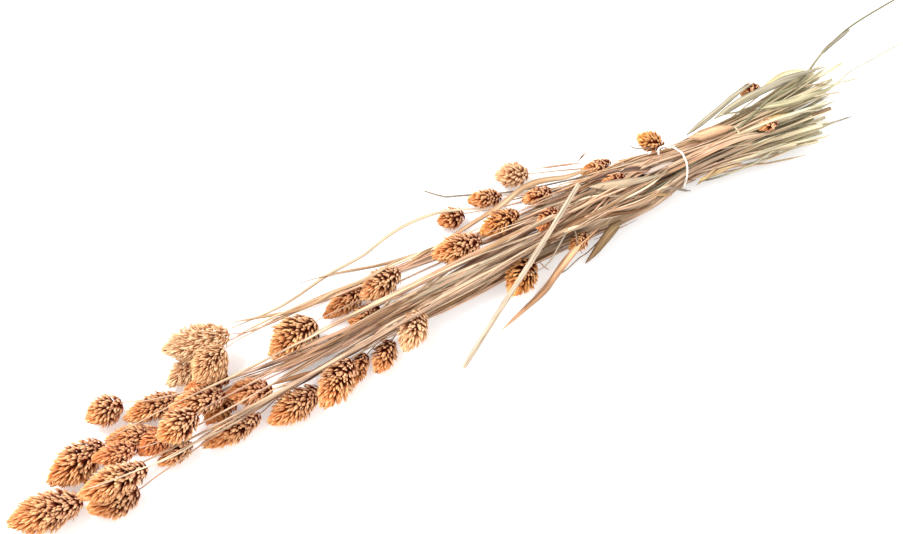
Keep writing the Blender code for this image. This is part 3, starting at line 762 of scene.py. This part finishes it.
def looseDyeWithPaintedShade(line, rng):
    first = second = looseDyes[rng.choice(dyeNames, p=firstChances)]
    if rng.random() >= 0.35:
        second = looseDyes[rng.choice(dyeNames, p=secondChances)]
    count = len(line)
    dye = mixed(first, second, 0.5 + 0.5 * slowNoise(rng, count, max(2, count // 5)))
    past = line[:, 0] - tieMiddle[0] - culmLook["greenFrom"]
    dye = mixed(dye, looseDyes["green"], np.clip(past / 0.06, 0, 1) * rng.uniform(0.55, 1.0))
    # random tone, times the painted light and shade of the pile
    return dye * rng.uniform(0.82, 1.15) * paintedPileLightAndShade(line)


def longestRun(chosen):
    best, start = (0, 0), None
    for place in range(len(chosen) + 1):
        if place < len(chosen) and chosen[place]:
            start = place if start is None else start
        elif start is not None:
            if place - start > best[1] - best[0]:
                best = (start, place)
            start = None
    return slice(*best)


def clearOfHeads(line):
    # the longest run of the line that covers no seed head
    clear = np.ones(len(line), bool)
    for stem in stems:
        along = np.clip((line - stem["base"]) @ stem["axis"] / stem["length"], 0, 1)
        gaps = (line - stem["base"] - (along * stem["length"])[:, None] * stem["axis"])[:, :2]
        radii = np.interp(along, stem["shares"], stem["radii"])
        clear &= np.linalg.norm(gaps, axis=1) > radii * looseLook["clear"] + 0.5 * mm
    return line[longestRun(clear)]


def restingHeights(z, reach):
    # a stiff strand rests on the highest things near it
    padded = np.pad(z, reach, mode="edge")
    high = np.max([padded[i:i + len(z)] for i in range(2 * reach + 1)], axis=0)
    padded = np.pad(high, reach + 1, mode="edge")
    return np.mean([padded[i:i + len(z)] for i in range(2 * reach + 3)], axis=0)


def besideLine(rng, step):
    # a line that wanders round one of the tied culms
    stem = tied[rng.integers(len(tied))]
    fine = smoothLine(stem["culm"], step * mm)
    fine = fine[(fine[:, 0] > looseLook["range"][0]) & (fine[:, 0] < looseLook["range"][1])]
    count = min(len(fine), int(rng.uniform(*looseLook["lengths"]) / step))
    start = rng.integers(0, len(fine) - count + 1)
    fine = fine[start:start + count]
    ups, sides = framesAlong(fine)
    turn = rng.uniform(-1.9, 1.9) + 1.3 * slowNoise(rng, count, max(2, count // 14))
    away = rng.uniform(*looseLook["offset"]) * mm + 0.9 * mm * slowNoise(rng, count, max(2, count // 8))
    line = fine + ups * (np.cos(turn) * away)[:, None] + sides * (np.sin(turn) * away)[:, None]
    line[:, 2] = np.maximum(line[:, 2], 0.8 * mm)
    return clearOfHeads(line)


def drapedLine(rng, step, lift):
    # a line that crosses the culms at a small angle, lying on top of the pile
    culm = smoothLine(tied[rng.integers(len(tied))]["culm"], step * mm)
    start = rng.uniform(looseLook["range"][0], tieMiddle[0] - 0.07)
    end = min(tieMiddle[0] - 0.01, start + rng.uniform(*looseLook["drapedLengths"]) * mm)
    xs = np.arange(start, end, step * mm)
    turned = (xs - xs.mean()) * rng.normal(0, looseLook["slope"]) + rng.normal(0, 3) * mm
    ys = np.interp(xs, culm[:, 0], culm[:, 1]) + turned + mm * slowNoise(rng, len(xs), max(2, len(xs) // 8))
    zs = np.array([topOf(x, y, -1) for x, y in zip(xs, ys)])
    kept = longestRun(zs > looseLook["pileFrom"] * mm)
    line = np.stack([xs, ys, zs], axis=1)[kept]
    if len(line) < 8:
        return line[:0]
    line[:, 2] = restingHeights(line[:, 2], 3) + lift * mm
    return clearOfHeads(line)


def flatLine(route, step):
    # a smooth line over the floor, from a route in mm from the middle of the tie
    return smoothLine([(x * mm, y * mm, 0) for x, y in route], step * mm) + tieMiddle * (1, 1, 0)


def fanLine(rng, step, lift):
    # a thin straw from the tie out to the fan of cut ends
    side = rng.uniform(*looseLook["fanSides"])
    start = (rng.uniform(2, 30), side * 0.5 + rng.uniform(-2, 2))
    end = (looseLook["fanReach"] + 0.6 * side + rng.uniform(-16, 12), side + rng.uniform(-3, 3))
    middle = ((start[0] + end[0]) / 2, (start[1] + end[1]) / 2 + rng.uniform(-1.5, 1.5))
    line = flatLine((start, middle, end), step)
    heights = np.array([topOf(x, y, 6 * mm) for x, y, z in line])
    line[:, 2] = restingHeights(heights, 2) * rng.uniform(0.55, 1) + lift * mm
    return line


def addStraw(piece, line, rng, radius, dye=None):
    count = len(line)
    radii = radius * (1 + 0.15 * slowNoise(rng, count, max(2, count // 4)))
    radii = radii * np.clip(np.minimum(np.arange(count), np.arange(count)[::-1]) / 2, 0.35, 1)
    dye = looseDyeWithPaintedShade(line, rng) if dye is None else dye
    # painted shade on the straw's underside
    sweep(piece, line, roundOutlines(radii, 6, rng, 0.08), dye, grainStart=rng.uniform(0, 1), under=0.45)


bladeThick = 0.26   # mm
# painted shade on each blade: darker at its edges and underneath, lighter along its top
paintedBladeShades = (0.5, 0.95, 1.08, 0.9, 0.45, 0.6, 0.6, 0.6)   # from one edge over the top, then back below


def addBlade(piece, line, halves, rng, dye, fold=0.4, twist=0.35, crinkle=0.18, shades=paintedBladeShades):
    count = len(line)
    rough = 1 + crinkle * slowNoise(rng, count, max(2, count // 3))
    depth = halves * fold * (0.7 + 0.6 * slowNoise(rng, count, max(2, count // 6)))
    outlines = bladeOutlines(halves * rough, depth, bladeThick * mm)
    turn = twist * slowNoise(rng, count, max(2, count // 10))
    sweep(piece, line, outlines, dye, twist=turn, grainStart=rng.uniform(0, 1), across=shades)


def tapered(count, half, rng):
    share = np.linspace(0, 1, count)
    return half * np.maximum(np.sin(math.pi * share) ** rng.uniform(0.3, 0.7), 0.12)


def strand(high, half, dyes, *route, **more):
    return {"high": high, "half": half, "dyes": dyes.split(), "route": route, **more}


# Single straws and strips with a place of their own: how high each lies where no culm is under it and
# half its width, both in mm, its dyes from one end to the other, and its route in mm from the tie's middle.
# A stiff one spans more of the dips below it, and lift is in mm above the pile.
placedStraws = {
    "creamKink": strand(30, 0.8, "cream cream", (-14, -12), (-32, -10), (-45, -6), (-62, 0), (-78, 2)),
    "endBelow": strand(9, 0.8, "tan ash", (-45, -10), (-26, -11), (-15, -13), (-1, -18)),
    "endBelowLower": strand(8, 0.9, "beige ochre", (-60, -10), (-33, -12), (-25, -13), (-15, -17)),
    "fanUpper": strand(22, 0.6, "beige green", (30, 3), (72, 1), (97, 1), (116, -2)),
    "fanUpperLong": strand(24, 0.55, "beige green", (40, 4), (61, 2), (81, -1), (106, -1), (126, -5)),
    "fanTop": strand(24, 0.7, "green cream", (35, 13), (70, 11), (88, 9), (107, 3)),
    "fanMiddle": strand(20, 0.5, "green cream", (40, 4), (81, 4), (93, -2), (113, -7)),
    "fanLower": strand(14, 0.6, "green ash", (45, -12), (78, -14), (93, -19), (112, -22)),
    "fanLowest": strand(8, 0.7, "green ash", (35, -16), (59, -19), (73, -21), (86, -24)),
    "fanGreenish": strand(8, 0.7, "ash green", (8, -15), (23, -18), (34, -19), (56, -20)),
    "twigTip": strand(20, 0.5, "ash umber", (-24, 24), (-21, 19), (-17, 16), (-10, 12)),
    "nodeTip": strand(16, 0.7, "umber tan", (-55, 29), (-50, 31), (-47, 32)),
    "greyTip": strand(22, 0.6, "ash umber", (51, 22), (57, 23), (64, 24)),
    "longPale": strand(30, 0.9, "cream beige", (-125, -3), (-98, -1), (-70, 0), (-40, 3)),
    "overThird": strand(
        24, 0.5, "cream cream", (-399, -27), (-382, -29), (-365, -30), (-348, -30), (-329, -27), (-304, -25),
        stiff=12,
    ),
    "overGap": strand(15, 0.8, "beige tan", (-260, -2), (-245, -1), (-222, 0), (-190, -1)),
    "overGapLower": strand(15, 0.7, "cream beige", (-256, -4), (-242, -3), (-220, -2), (-182, -3)),
    "overGapUpper": strand(15, 0.9, "pink cream", (-252, 0), (-238, 1), (-216, 0), (-192, -2)),
    "looseBit": strand(3, 0.9, "tan beige", (-105, -16), (-104, -19), (-102, -22)),
    "crook": strand(8, 0.42, "ash umber", (-81, -8), (-81, -15), (-83, -20), (-82, -26)),
    "crookLong": strand(
        6, 0.42, "umber ash", (-60, -18), (-67, -20), (-76, -23), (-83, -24), (-93, -27), (-101, -27),
    ),
    "stringEnd": strand(7, 0.75, "umber ash", (0, -11), (-2, -12), (-4, -13)),
    "stringEndShort": strand(7, 0.65, "umber umber", (-1, -12), (1, -14), (2, -14)),
}
placedStrips = {
    "darkSheath": strand(
        30, 2.4, "bark bark", (-58, 12), (-40, 9), (-27, 4), (-10, -2), lift=2.4,
        shades=(2.6, 0.5, 0.35, 0.6, 2.8, 0.5, 0.5, 0.5),
    ),
    "greySheath": strand(30, 1.5, "grey grey", (-32, 4), (-21, 0), (-8, -4), lift=3.0),
    # painted shadow: a dark strip that stands in for the shade under the strands here
    "paintedShadowStrip": strand(28, 1.5, "bark umber", (-74, 5), (-64, 6), (-54, 6), lift=1.8),
    "ochreSheath": strand(24, 2.0, "ochre gold", (58, -1), (63, -3), (70, -3), (78, -4)),
    "ochreLower": strand(11, 1.8, "gold beige", (6, -15), (14, -15), (24, -15), (36, -17)),
    "ochreTip": strand(8, 0.8, "ochre beige", (4, -16), (10, -15), (20, -13)),
    "bentBlade": strand(26, 0.7, "cream green", (39, 3), (39, -2), (37, -6)),
    "straySheath": strand(21, 1.5, "ash ash", (113, 21), (122, 24), (131, 26), (140, 28), lift=0.2),
    "sheathBulge": strand(24, 2.2, "gold green", (64, 15), (74, 17), (85, 18), (97, 15)),
}


def placedLine(look, step, lift):
    flat = flatLine(look["route"], step)
    heights = np.array([topOf(x, y, look["high"] * mm) for x, y, z in flat])
    flat[:, 2] = restingHeights(heights, look.get("stiff", 2)) + lift * mm
    dyes = [looseDyes[name] for name in look["dyes"]]
    return flat, mixed(*dyes, np.linspace(0, 1, len(flat)))


tied = [stem for stem in stems if stem["base"][0] < tieLow[0]]   # those that run through the tie
rng = np.random.default_rng(77)
straws = Gathered("looseStraws")
for each in range(looseLook["straws"] + looseLook["drapedStraws"]):
    line = besideLine(rng, 6) if each < looseLook["straws"] else drapedLine(rng, 5, 0.7)
    if len(line) >= 6:
        addStraw(straws, line, rng, rng.uniform(*looseLook["strawRadius"]) * mm)
for each in range(looseLook["fanStraws"]):
    addStraw(straws, fanLine(rng, 5, 0.7), rng, rng.uniform(*looseLook["strawRadius"]) * mm)
for look in placedStraws.values():
    line, dye = placedLine(look, 2, 0.8)
    addStraw(straws, line, rng, look["half"] * mm, dye)
straws.build([strawFinish])

blades = Gathered("looseBlades")
for each in range(looseLook["blades"] + looseLook["drapedBlades"]):
    line = besideLine(rng, 5) if each < looseLook["blades"] else drapedLine(rng, 4, 0.9)
    if len(line) >= 6:
        halves = tapered(len(line), rng.uniform(*looseLook["bladeHalf"]) * mm, rng)
        dye = looseDyeWithPaintedShade(line, rng)
        addBlade(blades, line, halves, rng, dye, fold=rng.uniform(-0.8, 0.8), twist=rng.uniform(0.3, 1.2))
for look in placedStrips.values():
    line, dye = placedLine(look, 2, look.get("lift", 1.0))
    halves = tapered(len(line), look["half"] * mm, rng)
    shades = look.get("shades", paintedBladeShades)
    addBlade(blades, line, halves, rng, dye, twist=0.3, crinkle=0.3, shades=shades)
blades.build([bladeFinish])
print("made the loose straws and blades")


# leaves that have a solid each

leafLooks = {
    "leaf_far_wisp_long": {"dye": "beige", "end": "cream", "fold": 0.5, "wide": 1.0},
    "leaf_far_wisp_short": {"dye": "tan", "end": "beige", "fold": 0.5, "wide": 1.0},
    "leaf_brown_ribbon": {"dye": "beige", "end": "tan", "fold": 0.4, "wide": 0.6},
    "leaf_pale_strap": {"dye": "beige", "end": "tan", "fold": 0.4, "wide": 0.85},
    "leaf_peach_low": {
        "dye": "peach", "end": "peach", "fold": 0.3, "wide": 0.85, "thinFrom": -82, "bow": 4.5,
    },
    "leaf_olive_low": {"dye": "olive", "end": "tan", "fold": 0.4, "wide": 1.4, "bow": 1.0},
    "leaf_thin_low": {"dye": "ash", "end": "beige", "fold": 0.5, "wide": 0.5},
    "leaf_peach_tie": {"dye": "paleSkin", "end": "peach", "fold": 0.3, "wide": 1.15, "lift": 1.5},
    "leaf_fan_green": {"dye": "sage", "end": "mist", "fold": 0.4, "wide": 1.2},
    "leaf_fan_folded": {"dye": "sage", "end": "mist", "fold": 0.6, "wide": 1.25},
    "leaf_long_awn": {"dye": "lime", "end": "lime", "fold": 0.5, "wide": 1.0},
    "leaf_sage": {"dye": "mist", "end": "beige", "fold": 0.5, "wide": 1.1, "lift": 1.0},
}
leafDyes = {
    **looseDyes,
    "peach": (0.88, 0.52, 0.30),
    "paleSkin": (0.94, 0.64, 0.42),
    "olive": (0.31, 0.26, 0.13),
    "sage": (0.54, 0.49, 0.35),
    "mist": (0.46, 0.42, 0.32),
    "lime": (0.56, 0.52, 0.33),
}

for number, (node, look) in enumerate(leafLooks.items()):
    rng = np.random.default_rng(300 + number)
    line, halves = readLeaf(node)
    fine = smoothLine(line, 3.5 * mm)
    wide = look["wide"] * np.interp(np.linspace(0, 1, len(fine)), runOf(line) / runOf(line)[-1], halves)
    thin = (fine[:, 0] - tieMiddle[0]) / mm - look.get("thinFrom", 1000)
    wide = np.minimum(wide, np.interp(thin, (-12, 0), (10, 0.5)) * mm)
    fine[:, 1] += look.get("bow", 0) * mm * np.sin(np.linspace(0, math.pi, len(fine)))
    fine[:, 2] += look.get("lift", 0) * mm
    blotch = 0.5 + 0.5 * slowNoise(rng, len(fine), max(3, len(fine) // 5))
    dye = mixed(leafDyes[look["dye"]], leafDyes[look["end"]], blotch)
    piece = Gathered("blade" + node.replace("leaf_", " ").title().replace(" ", "").replace("_", ""))
    addBlade(piece, fine, wide, rng, dye, fold=look["fold"], crinkle=0.16)
    piece.build([bladeFinish], [node])
print("made the leaves")


# bare stalks

stalkDyes = {
    "bare_stalk_broken": ((0.55, 0.38, 0.24), (0.40, 0.27, 0.16)),
    "bare_stalk_stray": ((0.30, 0.29, 0.17), (0.36, 0.33, 0.20)),
    "bare_stalk_across": ((0.80, 0.66, 0.50), (0.66, 0.54, 0.40)),
    "bare_stalk_thin": ((0.26, 0.22, 0.18), (0.34, 0.28, 0.20)),
}

for number, (node, (first, second)) in enumerate(stalkDyes.items()):
    rng = np.random.default_rng(500 + number)
    line, startRadius, endRadius = readStalk(node)
    fine = smoothLine(line, 5 * mm)
    count = len(fine)
    radii = np.linspace(startRadius, endRadius, count) * (1 + 0.08 * slowNoise(rng, count, count // 2))
    dye = mixed(first, second, 0.5 + 0.5 * slowNoise(rng, count, count // 4))
    piece = Gathered("stalk" + node.replace("bare_stalk_", "").title())
    sweep(piece, fine, roundOutlines(radii, 8, rng, 0.06), dye)
    piece.build([strawFinish], [node])
print("made the bare stalks")


# the tie

tieLook = {
    "plies": 2,
    "plyRadius": 0.42,        # mm
    "plyApart": 0.38,         # mm from the string's middle to a ply's
    "plyTurn": 3.4,           # mm for each turn of a ply
    "lean": 2.0,              # mm that the loop sits before the solid's, and more at its sides
    "curve": 3.0,
    "hook": ((-3.5, 7, 15.5), (-6.5, 10, 15), (-9.5, 10.5, 13), (-11, 7.5, 12)),   # mm from its middle
    "dye": (0.96, 0.91, 0.84),
}


def readTie():
    spots, links = joinedSpots("tie")
    middle = spots.mean(axis=0)
    turn = np.arctan2(spots[:, 2] - middle[2], spots[:, 1] - middle[1])
    order = np.argsort(turn)
    rings = spots[order].reshape(-1, 6, 3)
    return rings.mean(axis=1)


def closedSmooth(points, spacing):
    fine = smoothLine(np.vstack([points[-2:], points, points[:3]]), spacing)
    gaps = np.linalg.norm(fine - points[0], axis=1)
    half = len(fine) // 2
    return fine[gaps[:half].argmin():half + gaps[half:].argmin() + 1]


def addPly(piece, path, phase):
    ups, sides = framesAlong(path, (1, 0, 0))
    apart = tieLook["plyApart"] * mm
    turn = phase + runOf(path) / (tieLook["plyTurn"] * mm) * 2 * math.pi
    line = path + ups * (np.cos(turn) * apart)[:, None] + sides * (np.sin(turn) * apart)[:, None]
    outlines = roundOutlines(np.full(len(line), tieLook["plyRadius"] * mm), 6)
    sweep(piece, line, outlines, np.repeat([tieLook["dye"]], len(line), axis=0), up=(1, 0, 0))


loop = closedSmooth(readTie(), 0.8 * mm)
aside = (loop[:, 1] - tieMiddle[1]) / ((tieHigh[1] - tieLow[1]) / 2)
loop[:, 0] -= (tieLook["lean"] + tieLook["curve"] * aside**2) * mm
hook = smoothLine([tieMiddle + np.array(spot) * mm for spot in tieLook["hook"]], 0.8 * mm)
piece = Gathered("stringTie")
for ply in range(tieLook["plies"]):
    phase = ply * 2 * math.pi / tieLook["plies"]
    for path in (loop, hook):
        addPly(piece, path, phase)
piece.build([twineFinish], ["tie"])
print("made the tie")


# floor, light and camera

stageLook = {
    "floor": (0.94, 0.94, 0.94),
    "glow": 0.3,
    "world": 1.0,
    "key": {"place": (-0.5, 0.75, 1.3), "power": 26.0, "size": 0.6},
    "fill": {"place": (0.7, -0.9, 1.1), "power": 4.0, "size": 1.2},
}


def makeFloor():
    mesh = bpy.data.meshes.new("floor")
    mesh.from_pydata([(-4, -4, 0), (4, -4, 0), (4, 4, 0), (-4, 4, 0)], [], [(0, 1, 2, 3)])
    floor = bpy.data.objects.new("floor", mesh)
    floor.location.z = -0.0002
    bpy.context.scene.collection.objects.link(floor)
    finish, nodes, links = shaderOf("paleFloor")
    inputs = nodes["Principled BSDF"].inputs
    inputs["Base Color"].default_value = (*stageLook["floor"], 1)
    inputs["Roughness"].default_value = 0.9
    inputs["Specular IOR Level"].default_value = 0.0
    inputs["Emission Color"].default_value = (1, 1, 1, 1)
    inputs["Emission Strength"].default_value = stageLook["glow"]
    mesh.materials.append(finish)


def makeLight(name, place, power, size):
    light = bpy.data.lights.new(name, "AREA")
    light.energy = power
    light.size = size
    lamp = bpy.data.objects.new(name, light)
    lamp.location = place
    lamp.rotation_euler = (Vector((0, 0, 0)) - Vector(place)).to_track_quat("-Z", "Y").to_euler()
    bpy.context.scene.collection.objects.link(lamp)


makeFloor()
makeLight("keyLight", **stageLook["key"])
makeLight("fillLight", **stageLook["fill"])
world = bpy.data.worlds.new("studio")
world.use_nodes = True
background = world.node_tree.nodes["Background"]
background.inputs["Color"].default_value = (1, 1, 1, 1)
background.inputs["Strength"].default_value = stageLook["world"]
bpy.context.scene.world = world
bpy.context.scene.view_settings.view_transform = "Standard"

# "aim" is in metres from the middle of the tie, but its height is from the floor
cameraLook = {"away": 1.0, "elevation": 70.0, "azimuth": -27.4, "lens": 66.45, "aim": (-0.155, 0.004, 0.015)}


def makeCamera():
    turn, rise = math.radians(cameraLook["azimuth"]), math.radians(cameraLook["elevation"])
    right = Vector((math.cos(turn), math.sin(turn), 0))
    level = Vector((math.sin(turn), -math.cos(turn), 0))
    back = level * math.cos(rise) + Vector((0, 0, math.sin(rise)))
    up = back.cross(right)
    aim = Vector(cameraLook["aim"]) + Vector((tieMiddle[0], tieMiddle[1], 0))
    camera = bpy.data.objects.new("camera", bpy.data.cameras.new("camera"))
    camera.data.lens = cameraLook["lens"]
    axes = Matrix((right, up, back)).transposed().to_4x4()
    camera.matrix_world = Matrix.Translation(aim + back * cameraLook["away"]) @ axes
    bpy.context.scene.collection.objects.link(camera)
    bpy.context.scene.camera = camera


makeCamera()
print("made the stage")
